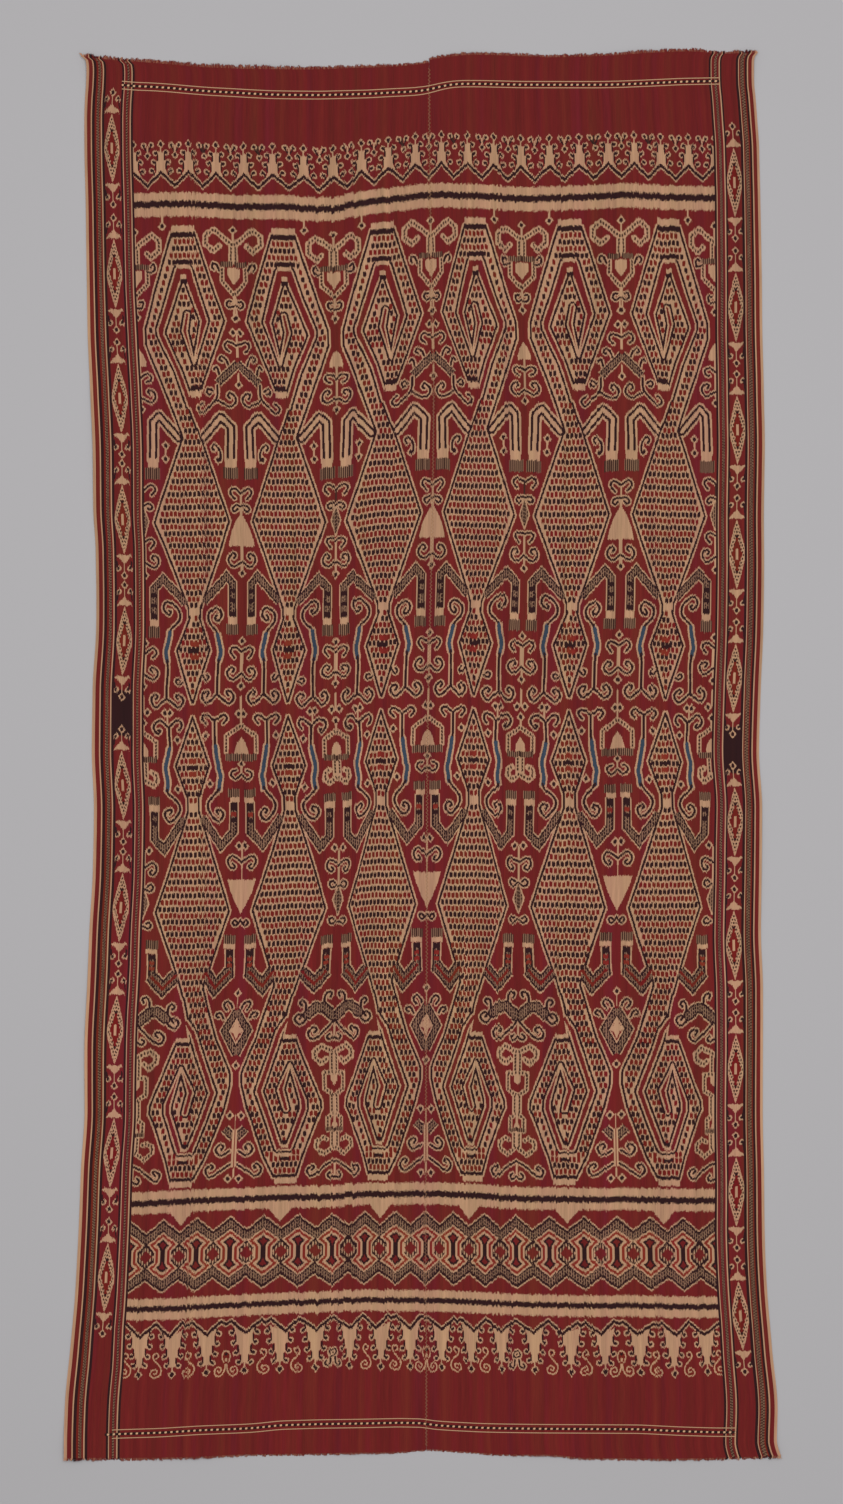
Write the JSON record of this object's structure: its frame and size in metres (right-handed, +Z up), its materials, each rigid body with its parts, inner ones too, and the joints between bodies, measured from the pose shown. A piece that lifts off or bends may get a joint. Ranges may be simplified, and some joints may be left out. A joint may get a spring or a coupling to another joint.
{
  "type": "ikat woven cloth",
  "caption": "Flat ceremonial cloth of joined warp ikat panels, deep red with cream and black figures, striped side borders and short cut warp ends.",
  "frame": {"origin": "middle of the cloth's outline, at the surface it lies on", "axes": "+X to the right across the two panels, +Y along the warp to the top end, +Z up out of the face"},
  "size_m": [1.182, 2.3352, 0.0078],
  "materials": {
    "ikat_cotton": "warp ikat cotton, matt, deep red ground with cream, black and blue-grey pattern",
    "warp_ends": "frayed red cotton warp ends, matt",
    "seam_thread": "cream cotton sewing thread, matt",
    "twining_yarn": "cream and dark cotton twining yarn, matt"
  },
  "bodies": {
    "root": {"panel_left": "ikat_cotton", "panel_right": "ikat_cotton", "fringe_top_left": "warp_ends", "fringe_top_right": "warp_ends", "fringe_bottom_left": "warp_ends", "fringe_bottom_right": "warp_ends"}
  },
  "joints": []
}
